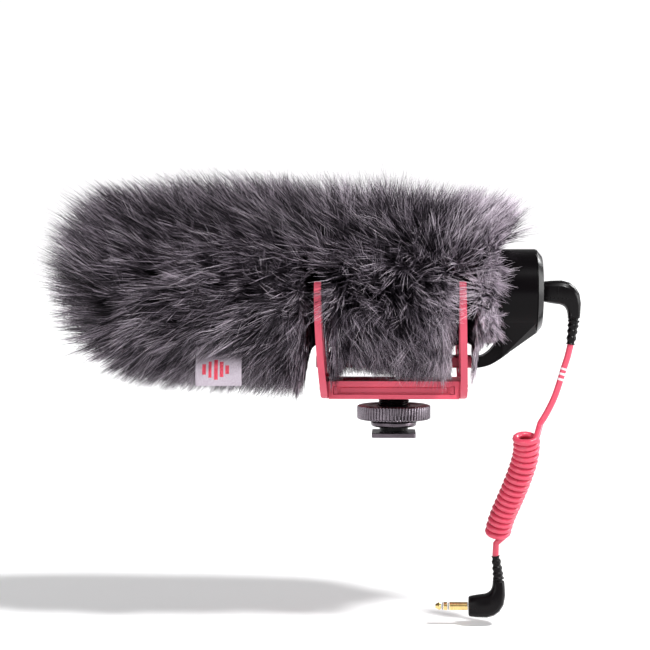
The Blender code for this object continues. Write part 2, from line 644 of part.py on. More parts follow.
# Half of the plug's side outline, as pairs of outer and inner points from the plug's face, and the
# half-width at each pair
PLUG_STATIONS = (
    ((0.0000, 0.0039), (0.0000, -0.0039), 0.0038),
    ((0.0008, 0.0043), (0.0008, -0.0043), 0.0041),
    ((0.0035, 0.0046), (0.0035, -0.0048), 0.0044),
    ((0.0078, 0.0047), (0.0070, -0.0053), 0.0045),
    ((0.0108, 0.0039), (0.0083, -0.0058), 0.0044),
    ((0.0132, 0.0021), (0.0092, -0.0066), 0.0041),
    ((0.0149, -0.0007), (0.0098, -0.0077), 0.0037),
    ((0.0156, -0.0047), (0.0101, -0.0090), 0.0032),
    ((0.0154, -0.0088), (0.0102, -0.0104), 0.0028),
    ((0.0152, -0.0109), (0.0102, -0.0112), 0.0026),
)
RELIEF_LINE = ((0.0127, -0.0116), (0.0122, -0.0160), (0.0114, -0.0216))
PIN_LENGTH = 0.0140
PIN_RADIUS = 0.00175


def plug_section(outer, inner, half_width, sides=14):
    """A rounded section of the plug, across its path."""
    middle = (Vector(outer) + Vector(inner)) / 2
    up = (Vector(outer) - Vector(inner)) / 2
    points = []
    for k in range(sides):
        angle = 2 * math.pi * k / sides
        c, s = math.cos(angle), math.sin(angle)
        c, s = math.copysign(abs(c) ** 0.7, c), math.copysign(abs(s) ** 0.7, s)
        points.append(Vector((middle.x + up.x * s, half_width * c, middle.y + up.y * s)))
    return points


def relief_line():
    return [Vector((p.x, 0, p.y)) for p in smooth_line([Vector(p) for p in RELIEF_LINE], 8)]


def relief_radius(i, count):
    """Tapers to the cord, with a groove at every third ring and a bead at the end."""
    share = i / (count - 1)
    grooved = 0.0004 if i % 4 in (2, 3) and share < 0.95 else 0.0
    return 0.0025 - 0.0006 * share - grooved


def make_plug(prefix, parent, flip):
    """A right-angled 3.5 mm plug whose cord leaves downwards, or upwards if flip is -1.

    The parent lies on the pin's axis, at the plug's face."""
    bm = bmesh.new()
    stack(bm, [plug_section(*station) for station in PLUG_STATIONS], close=False)
    body = finish(prefix + "plug_body", bm, RUBBER, parent)
    relief = bent_tube(prefix + "strain_relief", relief_line(), relief_radius, 12, RUBBER, parent)
    for obj in (body, relief):
        obj.data.transform(Matrix.Diagonal((1, 1, flip, 1)))
        if flip < 0:
            obj.data.flip_normals()
    for name, profile in (("sleeve_contact", [(-GAP, PIN_RADIUS), (-0.0081, PIN_RADIUS)]),
                          ("rear_insulator", [(-0.0084, 0.0016), (-0.0087, 0.0016)]),
                          ("ring_contact", [(-0.0090, PIN_RADIUS), (-0.0106, PIN_RADIUS)]),
                          ("front_insulator", [(-0.0109, 0.0016), (-0.0112, 0.0016)]),
                          ("tip_contact", [(-0.0115, 0.0012), (-0.0123, PIN_RADIUS), (-PIN_LENGTH, 0.0008)])):
        ends = [(profile[0][0], 0), *profile, (profile[-1][0], 0)]
        spec = RUBBER if "insulator" in name else GOLD
        turned(prefix + name, ends, spec, parent, segments=16, closed=False)


# The cord's route, chosen by hand. It starts below the strain relief, comes forward as it falls, and its
# curly stretch swings away to +Y before it hangs straight again below.
UPPER_ROUTE = ((0.0722, 0, 0.0374), (0.0711, 0, 0.0328), (0.0697, 0, 0.0284), (0.0676, 0, 0.0213),
               (0.0656, 0, 0.0156), (0.0628, 0, 0.0098), (0.0602, 0, 0.0055), (0.0583, 0, 0.0026))
COIL_ROUTE = ((0.0545, 0, 0.0015), (0.0546, 0.0030, -0.0065), (0.0537, 0.0052, -0.0118),
              (0.0521, 0.0077, -0.0174), (0.0503, 0.0103, -0.0229), (0.0483, 0.0130, -0.0284),
              (0.0462, 0.0158, -0.0340), (0.0446, 0.0185, -0.0395), (0.0437, 0.0212, -0.0450))
TAIL_ROUTE = ((0.0436, 0.0215, -0.0456), (0.0434, 0.0224, -0.0480), (0.0433, 0.0229, -0.0505),
              (0.0432, 0.0230, -0.0530))


def cord_tube(name, route, radius, per_span, resolution, parent):
    line = smooth_line([Vector((x, y, z - AXIS_Z)) for x, y, z in route], per_span)
    curve = bpy.data.curves.new(name, "CURVE")
    curve.dimensions = "3D"
    curve.bevel_depth = radius
    curve.bevel_resolution = resolution
    curve.use_fill_caps = True
    spline = curve.splines.new("POLY")
    spline.points.add(len(line) - 1)
    for point, p in zip(spline.points, line):
        point.co = (*p, 1)
    curve.materials.append(material(RED_CORD))
    obj = bpy.data.objects.new(name, curve)
    obj.parent = parent
    bpy.context.scene.collection.objects.link(obj)


def make_lead(parent):
    make_plug("", axis_at_plug("plug_axis", (PLUG_FACE, 0, 0), parent), 1)
    cord_tube("lead_upper", UPPER_ROUTE, CORD_RADIUS, 2, 2, parent)
    cord_tube("lead_coil", COIL_ROUTE, COIL_RADIUS, 1, 4, parent)
    cord_tube("lead_tail", TAIL_ROUTE, CORD_RADIUS, 1, 2, parent)
    relief_end = RELIEF_LINE[-1]
    tail_x, tail_y, tail_z = TAIL_ROUTE[-1]
    end_axis = (tail_x - relief_end[0], tail_y, tail_z - GAP + relief_end[1] - AXIS_Z)
    make_plug("end_", axis_at_plug("end_plug_axis", end_axis, parent), -1)


def axis_at_plug(name, location, parent):
    empty = axis_empty(name, location)
    empty.parent = parent
    return empty


def main():
    clear_scene()
    stud_axis = axis_empty("stud_axis", (0, 0, 0))
    mic_axis = axis_empty("mic_axis", (0, 0, AXIS_Z))
    make_foot(stud_axis)
    make_stud(stud_axis)
    washer_top = make_washer(stud_axis)
    make_wheel(washer_top + GAP, stud_axis)
    make_stud_screw(stud_axis)
    make_base(stud_axis)
    make_lyres(stud_axis)
    make_lyre_screws(stud_axis)
    make_rail(mic_axis)
    make_rail_screw(mic_axis)
    make_housing(mic_axis)
    make_cap(mic_axis)
    make_electronics(mic_axis)
    make_tube(mic_axis)
    make_foam(mic_axis)
    make_sleeve(mic_axis)
    make_fur(mic_axis)
    make_lead(mic_axis)


main()
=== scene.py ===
"""Looks for the furry windscreen: long mixed grey pile on a knitted sleeve, round a camera-top microphone.

Metres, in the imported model's frame: +X to the microphone's rear, -Y towards the camera, +Z up.
"""

import json
import math

import bmesh
import bpy
import numpy as np
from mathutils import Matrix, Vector


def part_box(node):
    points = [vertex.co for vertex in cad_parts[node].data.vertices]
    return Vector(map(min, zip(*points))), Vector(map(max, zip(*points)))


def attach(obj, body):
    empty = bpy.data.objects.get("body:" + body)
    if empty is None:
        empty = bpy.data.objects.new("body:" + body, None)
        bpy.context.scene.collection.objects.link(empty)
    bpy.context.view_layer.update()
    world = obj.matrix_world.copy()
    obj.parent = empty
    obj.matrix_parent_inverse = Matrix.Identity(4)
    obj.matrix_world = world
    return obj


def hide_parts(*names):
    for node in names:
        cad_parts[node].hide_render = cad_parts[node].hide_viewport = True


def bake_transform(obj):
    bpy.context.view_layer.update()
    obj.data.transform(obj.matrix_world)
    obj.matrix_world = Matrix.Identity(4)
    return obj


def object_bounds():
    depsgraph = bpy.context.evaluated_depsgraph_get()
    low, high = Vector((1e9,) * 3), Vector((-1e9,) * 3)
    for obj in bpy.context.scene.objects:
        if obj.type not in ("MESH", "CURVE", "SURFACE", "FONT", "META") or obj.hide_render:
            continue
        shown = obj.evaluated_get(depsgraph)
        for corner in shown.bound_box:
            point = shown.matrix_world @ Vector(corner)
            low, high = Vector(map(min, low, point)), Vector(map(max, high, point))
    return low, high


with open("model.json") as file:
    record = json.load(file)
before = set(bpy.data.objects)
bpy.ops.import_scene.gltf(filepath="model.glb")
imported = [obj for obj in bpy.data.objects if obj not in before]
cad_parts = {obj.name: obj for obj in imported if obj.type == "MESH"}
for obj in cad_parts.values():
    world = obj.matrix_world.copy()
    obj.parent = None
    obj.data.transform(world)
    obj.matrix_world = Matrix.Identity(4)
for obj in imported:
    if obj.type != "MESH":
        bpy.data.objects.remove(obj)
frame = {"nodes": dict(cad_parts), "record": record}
NODES = frame["nodes"]
CAD_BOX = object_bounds()

SEED = 20417
TUBE_LOW, TUBE_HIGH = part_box("mic_tube")
AXIS_Z = (TUBE_LOW.z + TUBE_HIGH.z) / 2      # the microphone's axis, along X
SLEEVE_LOW, SLEEVE_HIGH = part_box("windscreen_sleeve")
SLEEVE_RADIUS = (SLEEVE_HIGH.z - SLEEVE_LOW.z) / 2
NOSE_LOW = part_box("nose_panel")[0]


# Camera, light and floor

CAMERA_PLACE = Vector((0, -0.800, 0.084))
CAMERA_AIM = Vector((-0.0283, 0, 0.0456))
LENS_MM = 108.0
FLOOR_Z = CAD_BOX[0].z - 0.004


def make_camera():
    data = bpy.data.cameras.new("camera")
    data.lens, data.sensor_width = LENS_MM, 36.0
    camera = bpy.data.objects.new("camera", data)
    camera.location = CAMERA_PLACE
    camera.rotation_euler = (CAMERA_AIM - CAMERA_PLACE).to_track_quat("-Z", "Y").to_euler()
    bpy.context.scene.collection.objects.link(camera)
    bpy.context.scene.camera = camera


def sun(name, towards, strength, spread):
    """Soft parallel light that comes from the direction towards."""
    data = bpy.data.lights.new(name, "SUN")
    data.energy, data.angle = strength, math.radians(spread)
    light = bpy.data.objects.new(name, data)
    light.rotation_euler = Vector(towards).to_track_quat("Z", "Y").to_euler()
    bpy.context.scene.collection.objects.link(light)


def make_studio():
    scene = bpy.context.scene
    scene.view_settings.view_transform = "Standard"
    world = bpy.data.worlds.new("studio")
    world.use_nodes = True
    nodes, links = world.node_tree.nodes, world.node_tree.links
    background = nodes["Background"]
    background.inputs["Color"].default_value = (1.0, 0.99, 1.0, 1)
    path = nodes.new("ShaderNodeLightPath")
    strength = nodes.new("ShaderNodeMapRange")
    strength.inputs["To Min"].default_value, strength.inputs["To Max"].default_value = 0.26, 1.05
    links.new(path.outputs["Is Camera Ray"], strength.inputs["Value"])
    links.new(strength.outputs["Result"], background.inputs["Strength"])
    scene.world = world
    sun("key", (0.42, -0.60, 0.90), 3.8, 8)
    sun("rim", (0.60, 0.75, 0.50), 1.5, 20)
    sun("side", (1.00, -0.10, 0.10), 1.8, 20)
    sun("edge", (0.95, 0.29, 0.06), 1.2, 40)
    sun("fill", (-0.55, -0.80, 0.20), 0.9, 40)
    floor = bpy.data.meshes.new("floor")
    half = 6.0
    floor.from_pydata([(-half, -half, FLOOR_Z), (half, -half, FLOOR_Z), (half, half, FLOOR_Z),
                       (-half, half, FLOOR_Z)], [], [(0, 1, 2, 3)])
    stage = bpy.data.objects.new("floor", floor)
    scene.collection.objects.link(stage)
    floor.materials.append(new_material("floor_white", (0.93, 0.93, 0.935), 0.8)[0])


# Materials

def new_material(name, colour, roughness, metallic=0.0, **sockets):
    """A Principled material; sockets are set by their labels, with _ for each space."""
    mat = bpy.data.materials.new(name)
    mat.use_nodes = True
    nodes, links = mat.node_tree.nodes, mat.node_tree.links
    shader = nodes["Principled BSDF"]
    shader.inputs["Base Color"].default_value = (*colour, 1)
    shader.inputs["Roughness"].default_value = roughness
    shader.inputs["Metallic"].default_value = metallic
    for label, value in sockets.items():
        shader.inputs[label.replace("_", " ")].default_value = value
    mat.diffuse_color = (*colour, 1)
    return mat, nodes, links, shader


def noise(nodes, links, scale, detail=3.0, stretch=None):
    """Noise in the row frame's own metres. stretch scales it along X, Y and Z."""
    coordinates = nodes.new("ShaderNodeTexCoord")
    texture = nodes.new("ShaderNodeTexNoise")
    texture.inputs["Scale"].default_value = scale
    texture.inputs["Detail"].default_value = detail
    if stretch is None:
        links.new(coordinates.outputs["Object"], texture.inputs["Vector"])
    else:
        mapping = nodes.new("ShaderNodeMapping")
        mapping.inputs["Scale"].default_value = stretch
        links.new(coordinates.outputs["Object"], mapping.inputs["Vector"])
        links.new(mapping.outputs["Vector"], texture.inputs["Vector"])
    return texture


def tint(nodes, links, shader, source, dark, light, low=0.35, high=0.65):
    """Base Color from dark to light by a texture's value."""
    ramp = nodes.new("ShaderNodeValToRGB")
    ramp.color_ramp.elements[0].position, ramp.color_ramp.elements[1].position = low, high
    ramp.color_ramp.elements[0].color = (*dark, 1)
    ramp.color_ramp.elements[1].color = (*light, 1)
    links.new(source, ramp.inputs["Fac"])
    links.new(ramp.outputs["Color"], shader.inputs["Base Color"])


def roughen(nodes, links, shader, source, low, high):
    span = nodes.new("ShaderNodeMapRange")
    span.inputs["From Min"].default_value, span.inputs["From Max"].default_value = 0.3, 0.7
    span.inputs["To Min"].default_value, span.inputs["To Max"].default_value = low, high
    links.new(source, span.inputs["Value"])
    links.new(span.outputs["Result"], shader.inputs["Roughness"])


def bump(nodes, links, shader, source, strength, distance):
    bumped = nodes.new("ShaderNodeBump")
    bumped.inputs["Strength"].default_value = strength
    bumped.inputs["Distance"].default_value = distance
    links.new(source, bumped.inputs["Height"])
    links.new(bumped.outputs["Normal"], shader.inputs["Normal"])


def moulded(name, colour, roughness, grain_scale=2600, grain=0.25, **sockets):
    """Moulded plastic or rubber: slight mottling, uneven gloss and a fine spark-eroded grain."""
    mat, nodes, links, shader = new_material(name, colour, roughness, **sockets)
    broad = noise(nodes, links, 90)
    fine = noise(nodes, links, grain_scale, 2.0)
    tint(nodes, links, shader, broad.outputs["Fac"], [c * 0.95 for c in colour], [c * 1.05 for c in colour])
    roughen(nodes, links, shader, broad.outputs["Fac"], roughness * 0.85, roughness * 1.15)
    bump(nodes, links, shader, fine.outputs["Fac"], grain, 0.00006)
    return mat


def turned_metal(name, colour, roughness, metallic=0.9, stretch=(60, 60, 900)):
    """Machined metal: fine turning lines that follow the stretch, and handling marks in the gloss."""
    mat, nodes, links, shader = new_material(name, colour, roughness, metallic)
    lines = noise(nodes, links, 6, 2.0, stretch)
    broad = noise(nodes, links, 140)
    tint(nodes, links, shader, lines.outputs["Fac"], [c * 0.8 for c in colour], [c * 1.25 for c in colour])
    roughen(nodes, links, shader, broad.outputs["Fac"], roughness * 0.8, roughness * 1.3)
    bump(nodes, links, shader, lines.outputs["Fac"], 0.15, 0.00003)
    return mat


def make_slot_materials():
    made = {
        "red_elastomer": moulded("red_elastomer", (0.55, 0.068, 0.112), 0.42, 1500, 0.3,
                                 Specular_IOR_Level=0.35),
        "red_cord": moulded("red_cord", (0.62, 0.058, 0.108), 0.30, 900, 0.15, Specular_IOR_Level=0.5),
        "black_plastic": moulded("black_plastic", (0.0016, 0.0010, 0.0015), 0.24, 3200, 0.10,
                                 Specular_IOR_Level=0.10),
        "black_metal": turned_metal("black_metal", (0.105, 0.088, 0.102), 0.26, 1.0),
        "black_rubber": moulded("black_rubber", (0.0020, 0.0013, 0.0018), 0.30, 2200, 0.15,
                                Specular_IOR_Level=0.15),
        "steel": turned_metal("steel", (0.56, 0.56, 0.57), 0.28, 1.0, (900, 60, 60)),
        "gold_contact": turned_metal("gold_contact", (0.83, 0.60, 0.25), 0.20, 1.0, (900, 60, 60)),
        "board_green": moulded("board_green", (0.02, 0.13, 0.06), 0.35, 1800, 0.3, Coat_Weight=0.4),
    }
    bevels = {"cradle_base": 0.0004, "clamp_washer": 0.0003, "shoe_foot": 0.0003, "carriage_rail": 0.0003,
              "rear_housing": 0.0004, "rear_cap": 0.0003, "plug_body": 0.0006, "end_plug_body": 0.0006,
              "strain_relief": 0.0002, "end_strain_relief": 0.0002}
    for row in frame["record"]["subparts"]:
        node = NODES[row["node"]]
        if row["material_slot"] in made:
            node.data.materials.clear()
            node.data.materials.append(made[row["material_slot"]])
            refine(node, bevels.get(row["node"], 0.0001))
    cap = NODES["rear_cap"].data
    cap.materials.append(moulded("polished_cap", (0.0020, 0.0014, 0.0020), 0.24, 3200, 0.06,
                                 Specular_IOR_Level=0.30))
    for face in cap.polygons:
        face.material_index = 1 if 0.15 < face.normal.x < 0.95 else 0
    # The base takes a lighter copy of the red elastomer: painted light, making up for the shade that falls
    # on it under the pile.
    base = NODES["cradle_base"].data.materials
    base.clear()
    base.append(moulded("red_base_painted_lighter", (0.68, 0.088, 0.140), 0.42, 1500, 0.3, Specular_IOR_Level=0.35))
    return made


def refine(obj, width):
    """Joins imported triangles back into smooth faces and rounds the sharp edges."""
    mesh = obj.data
    if "custom_normal" in mesh.attributes:
        mesh.attributes.remove(mesh.attributes["custom_normal"])
    mesh.shade_smooth()
    obj.modifiers.new("joined", "WELD").merge_threshold = 0.000004
    faces = obj.modifiers.new("faces", "DECIMATE")
    faces.decimate_type, faces.angle_limit = "DISSOLVE", math.radians(0.6)
    bevel = obj.modifiers.new("rounded", "BEVEL")
    bevel.width, bevel.segments = width, 3
    bevel.limit_method, bevel.angle_limit = "ANGLE", math.radians(28)
    bevel.harden_normals = True


# Mesh helpers

def piece(name, mesh_or_bm, mats, body, slot, *replaced):
    mesh = mesh_or_bm
    if isinstance(mesh_or_bm, bmesh.types.BMesh):
        mesh = bpy.data.meshes.new(name)
        mesh_or_bm.to_mesh(mesh)
        mesh_or_bm.free()
    mesh.name = name
    for mat in mats:
        mesh.materials.append(mat)
    mesh.shade_smooth()
    mesh.set_sharp_from_angle(angle=math.radians(40))
    obj = bpy.data.objects.new(name, mesh)
    bpy.context.scene.collection.objects.link(obj)
    if body:
        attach(obj, body)
    if replaced:
        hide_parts(*replaced)
    return obj


def grid_mesh(name, rows, close_rows, close_columns):
    """Quads over an array of points, rows x columns x 3."""
    rows = np.asarray(rows, float)
    count, width = rows.shape[:2]
    index = np.arange(count * width).reshape(count, width)
    if close_columns:
        index = np.concatenate([index, index[:, :1]], axis=1)
    if close_rows:
        index = np.concatenate([index, index[:1]], axis=0)
    quads = np.stack([index[:-1, :-1], index[:-1, 1:], index[1:, 1:], index[1:, :-1]], axis=-1)
    mesh = bpy.data.meshes.new(name)
    mesh.from_pydata(rows.reshape(-1, 3).tolist(), [], quads.reshape(-1, 4).tolist())
    return mesh


def smooth_line(points, per_span):
    """Points on a Catmull-Rom curve through the given points, the ends included."""
    given = [Vector(p) for p in points]
    padded = [2 * given[0] - given[1], *given, 2 * given[-1] - given[-2]]
    line = []
    for a, b, c, d in zip(padded, padded[1:], padded[2:], padded[3:]):
        for i in range(per_span):
            t = i / per_span
            line.append(0.5 * (2 * b + (c - a) * t + (2 * a - 5 * b + 4 * c - d) * t ** 2
                               + (3 * b - a - 3 * c + d) * t ** 3))
    line.append(given[-1])
    return line


# Lead

CORD_RADIUS = 0.00135
UPPER_ROUTE = ((0.0722, 0, 0.0374), (0.0711, 0, 0.0328), (0.0697, 0, 0.0284), (0.0676, 0, 0.0213),
               (0.0656, 0, 0.0156), (0.0628, 0, 0.0098), (0.0602, 0, 0.0055))
COIL_ROUTE = ((0.0545, 0, 0.0003), (0.0546, 0.0030, -0.0065), (0.0537, 0.0052, -0.0118),
              (0.0521, 0.0077, -0.0174), (0.0503, 0.0103, -0.0229), (0.0483, 0.0130, -0.0284),
              (0.0462, 0.0158, -0.0340), (0.0446, 0.0185, -0.0395), (0.0438, 0.0208, -0.0440))
TAIL_ROUTE = ((0.0434, 0.0224, -0.0480), (0.0433, 0.0229, -0.0505), (0.0432, 0.0230, -0.0530))
HELIX_RADIUS = 0.00425
COIL_PITCH = 0.00276
FIRST_LOOP_FLARE = 0.16
BAND_STARTS = (0.0110, 0.0132, 0.0154)
BAND_LENGTH = 0.0012
POINTS_A_TURN = 16


def along(line):
    steps = [0.0]
    for a, b in zip(line, line[1:]):
        steps.append(steps[-1] + (b - a).length)
    return steps


def helix_points():
    """The curly stretch: a helix round the coil's own line, from its top right to its bottom."""
    line = smooth_line([Vector(p) for p in COIL_ROUTE], 8)
    places = along(line)
    turns = round(places[-1] / COIL_PITCH)
    points = []
    for i in range(turns * POINTS_A_TURN + 1):
        share = i / (turns * POINTS_A_TURN)
        where = share * places[-1]
        k = min(max(j for j, s in enumerate(places) if s <= where + 1e-12), len(line) - 2)
        part = (where - places[k]) / (places[k + 1] - places[k])
        centre = line[k].lerp(line[k + 1], part)
        tangent = (line[k + 1] - line[k]).normalized()
        side = Vector((0, 1, 0)).cross(tangent).normalized()
        back = tangent.cross(side)
        angle = 2 * math.pi * i / POINTS_A_TURN
        radius = HELIX_RADIUS * (1 + FIRST_LOOP_FLARE * math.exp(-angle / 4))
        points.append(centre - radius * (math.cos(angle) * side + math.sin(angle) * back))
    return points


def make_lead(mats):
    upper = [Vector((0.0725, 0, 0.0390)), *smooth_line([Vector(p) for p in UPPER_ROUTE], 3)]
    helix = helix_points()
    tail = [Vector(p) for p in TAIL_ROUTE]
    tail.append(tail[-1] - Vector((0, 0, 0.0012)))
    joined = smooth_line([upper[-2], upper[-1], helix[2], helix[3]], 5)[5:11]
    leaving = smooth_line([helix[-3], helix[-2], tail[0], tail[1]], 5)[6:11]
    route = upper[:-1] + joined + helix[3:-2] + leaving + tail[1:]
    curve = bpy.data.curves.new("curly_lead", "CURVE")
    curve.dimensions = "3D"
    curve.bevel_depth, curve.bevel_resolution, curve.use_fill_caps = CORD_RADIUS, 3, True
    spline = curve.splines.new("POLY")
    spline.points.add(len(route) - 1)
    for point, p in zip(spline.points, route):
        point.co = (*p, 1)
    spline.use_smooth = True
    curve.materials.append(mats["red_cord"])
    lead = bpy.data.objects.new("curly_lead", curve)
    bpy.context.scene.collection.objects.link(lead)
    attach(lead, "lead")
    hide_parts("lead_upper", "lead_coil", "lead_tail")
    make_cord_bands(upper)
    necks = (("relief_neck", (0.07348, 0, 0.0492), (0.07338, 0, 0.0466)), ("end_relief_neck", *end_neck()))
    for name, start, end in necks:
        neck = bpy.data.curves.new(name, "CURVE")
        neck.dimensions, neck.bevel_depth, neck.use_fill_caps = "3D", 0.0020, True
        spline = neck.splines.new("POLY")
        spline.points.add(1)
        for point, place in zip(spline.points, (start, end)):
            point.co = (*place, 1)
        neck.materials.append(mats["black_rubber"])
        obj = bpy.data.objects.new(name, neck)
        bpy.context.scene.collection.objects.link(obj)
        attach(obj, "lead")


def make_cord_bands(upper):
    """Three pale printed rings on the cord below the plug."""
    print_white, nodes, links, shader = new_material("print_white", (0.80, 0.66, 0.70), 0.5)
    wear = noise(nodes, links, 4000, 2.0)
    tint(nodes, links, shader, wear.outputs["Fac"], (0.70, 0.50, 0.55), (0.86, 0.76, 0.79))
    curve = bpy.data.curves.new("cord_bands", "CURVE")
    curve.dimensions, curve.bevel_depth, curve.use_fill_caps = "3D", CORD_RADIUS + 0.00006, True
    line = smooth_line(upper, 8)
    places = along(line)
    for start in BAND_STARTS:
        held = [p for p, at in zip(line, places) if start <= at <= start + BAND_LENGTH]
        spline = curve.splines.new("POLY")
        spline.points.add(len(held) - 1)
        for point, p in zip(spline.points, held):
            point.co = (*p, 1)
    curve.materials.append(print_white)
    obj = bpy.data.objects.new("cord_bands", curve)
    bpy.context.scene.collection.objects.link(obj)
    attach(obj, "lead")


def end_neck():
    """Where the far plug's strain relief meets its body."""
    low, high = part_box("end_strain_relief")
    x, y = (low.x + high.x) / 2, (low.y + high.y) / 2
    return (x, y, low.z + 0.0012), (x, y, low.z - 0.0012)


# Grip on the plug's sides: a row of small knobs and a raised line

def make_plug_grip(mats):
    bm = bmesh.new()
    plug = NODES["plug_body"]
    for side in (-1, 1):
        spots = [(0.0640 + 0.0016 * k, 0.0570 - 0.0001 * k, 0.00040) for k in range(6)]
        spots += [(0.0668, 0.0588 + 0.0003 * k, 0.00022) for k in range(13)]
        for x, z, radius in spots:
            hit, place, normal = plug.ray_cast(Vector((x, side * 0.02, z)), Vector((0, -side, 0)))[:3]
            if hit:
                made = bmesh.ops.create_icosphere(bm, subdivisions=2, radius=radius)["verts"]
                bmesh.ops.translate(bm, verts=made, vec=place - normal * radius * 0.35)
    piece("plug_grip", bm, [mats["black_rubber"]], "lead", "black_rubber")


# Ribs in the base's side channels, and the fillets between the base and the lyres' feet

def make_channel_ribs(mats):
    low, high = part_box("cradle_base")
    bm = bmesh.new()
    floor_y, face_y = high.y - 0.0014, high.y - 0.0003
    for side in (-1, 1):
        boxes = [((x - 0.0008, x + 0.0008), (floor_y - 0.0003, face_y), (0.0182, 0.0213))
                 for x in (-0.0236, 0.0236)]
        boxes.append(((-0.0218, 0.0218), (floor_y - 0.0003, floor_y + 0.0005), (0.0187, 0.0208)))
        boxes += [((x - 0.0004, x + 0.0004), (0, high.y - 0.0002), (low.z + 0.0004, high.z - 0.0003))
                  for x in (low.x, high.x)]
        for xs, ys, zs in boxes:
            made = bmesh.ops.create_cube(bm, size=1)["verts"]
            for vertex in made:
                vertex.co = ((xs[0] + xs[1]) / 2 + vertex.co.x * (xs[1] - xs[0]),
                             side * ((ys[0] + ys[1]) / 2 + vertex.co.y * (ys[1] - ys[0])),
                             (zs[0] + zs[1]) / 2 + vertex.co.z * (zs[1] - zs[0]))
    bmesh.ops.recalc_face_normals(bm, faces=bm.faces[:])
    ribs = piece("channel_ribs", bm, [mats["red_elastomer"]], "cradle", "red_elastomer")
    bevel = ribs.modifiers.new("rounded", "BEVEL")
    bevel.width, bevel.segments, bevel.harden_normals = 0.0002, 2, True


# Lyres: each has a frame that reaches from cradle to microphone and stays where it is, and a clip that
# follows the microphone

LYRE_TOP_Y = 0.0301
CORNER_RADIUS = 0.0022


def make_lyres(mats):
    for end, sign in (("front", -1), ("rear", 1)):
        node = NODES[f"{end}_lyre"]
        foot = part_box(f"{end}_lyre")[0].z
        face = REAR_ARM_X + PLATE_HALF
        for part in ("frame", "clip"):
            bm = bmesh.new()
            bm.from_mesh(node.data)
            bmesh.ops.remove_doubles(bm, verts=bm.verts[:], dist=0.000004)
            bmesh.ops.dissolve_limit(bm, angle_limit=math.radians(0.6), verts=bm.verts[:], edges=bm.edges[:])
            cuts = [((0, y, 0), (0, 1, 0)) for y in (-LYRE_TOP_Y, LYRE_TOP_Y)]
            if part == "frame":
                cuts += [((0, 0, foot + CORNER_RADIUS * k), (0, 0, 1)) for k in (0.05, 0.2, 0.42, 0.7, 1.0)]
            for place, normal in cuts:
                bmesh.ops.bisect_plane(bm, geom=bm.verts[:] + bm.edges[:] + bm.faces[:], plane_co=place,
                                       plane_no=normal)
            other = [f for f in bm.faces if on_clip(f.calc_center_median()) != (part == "clip")]
            bmesh.ops.delete(bm, geom=other, context="FACES")
            for vertex in bm.verts:
                rise = (vertex.co.z - foot) / CORNER_RADIUS
                if part == "frame" and rise < 1 and abs(vertex.co.x - sign * face) < 0.0002:
                    inward = 1 - math.sqrt(max(1 - (1 - max(rise, 0)) ** 2, 0))
                    vertex.co.x -= sign * CORNER_RADIUS * 0.95 * inward
            obj = piece(f"{end}_lyre_{part}", bm, [mats["red_elastomer"]], None, "red_elastomer")
            bevel = obj.modifiers.new("rounded", "BEVEL")
            bevel.width, bevel.segments, bevel.harden_normals = 0.00035, 3, True
            bevel.limit_method, bevel.angle_limit = "ANGLE", math.radians(40)
            if part == "frame":
                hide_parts(f"{end}_lyre")
                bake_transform(obj)
            else:
                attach(obj, "microphone")


def on_clip(place):
    """True on the inner legs and the loop round the rail, False on the outer arms and the end plate."""
    y = abs(place.y)
    return y < LYRE_TOP_Y and place.z > (0.0248 if y < 0.012 else 0.0305)


# Lock wheel with its knurled rim

WHEEL_BORE = 0.0068
KNURL_TEETH = 66
KNURL_DEPTH = 0.00075
KNURL_RIB = (0.0, 0.10, 0.55, 0.95, 1.0, 0.95, 0.55, 0.10)      # depth of cut across one rib


def make_wheel():
    low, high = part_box("lock_wheel")
    radius, bore = high.x, WHEEL_BORE
    profile = [(low.z, bore, 0), (low.z, radius - 0.0013, 0), (low.z + 0.0002, radius - 0.0006, 0),
               (low.z + 0.0005, radius - 0.0001, 0.6), (low.z + 0.0008, radius, 1),
               (high.z - 0.0008, radius, 1), (high.z - 0.0005, radius - 0.0001, 0.6),
               (high.z - 0.0002, radius - 0.0006, 0), (high.z, radius - 0.0013, 0),
               (high.z, radius - 0.0045, 0), (high.z - 0.0004, radius - 0.0050, 0),
               (high.z - 0.0004, bore + 0.0012, 0), (high.z, bore, 0)]
    turn = np.linspace(0, 2 * math.pi, KNURL_TEETH * len(KNURL_RIB), endpoint=False)
    depth = np.tile(KNURL_RIB, KNURL_TEETH) * KNURL_DEPTH
    rows = []
    for z, r, cut in profile:
        rim = r - cut * depth
        rows.append(np.stack([rim * np.cos(turn), rim * np.sin(turn), z + 0 * turn], axis=-1))
    mesh = grid_mesh("knurled_wheel", rows, True, True)
    mesh.flip_normals()
    for face in mesh.polygons:
        face.material_index = 0 if abs(face.normal.z) < 0.7 else 1
    # The flat top and bottom take a much darker, slightly rougher copy of the wheel's metal: painted shade
    # that dims what they reflect.
    face_painted_shade = turned_metal("wheel_face_painted_shade", (0.030, 0.024, 0.030), 0.34, 0.8, (60, 60, 900))
    knurl = turned_metal("knurl_metal", (0.19, 0.165, 0.188), 0.24, 1.0)
    piece("knurled_wheel", mesh, [knurl, face_painted_shade], "wheel", "black_metal", "lock_wheel")


# Cloth and foam under the pile

HEM_LOW, HEM_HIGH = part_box("hem_elastic")
FOAM_LOW, FOAM_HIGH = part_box("foam_windshield")
FOAM_RADIUS = (FOAM_HIGH.z - FOAM_LOW.z) / 2
TUBE_RADIUS = (TUBE_HIGH.z - TUBE_LOW.z) / 2
CLOTH = 0.0009


def lathe(name, profile, segments, close_rows=True):
    """Rings of (x, radius) round the microphone's axis."""
    turn = np.linspace(0, 2 * math.pi, segments, endpoint=False)
    x, r = np.array(profile, float).T[:, :, None]
    rows = np.stack([x + 0 * turn, r * np.cos(turn), AXIS_Z + r * np.sin(turn)], axis=-1)
    return grid_mesh(name, rows, close_rows, True)


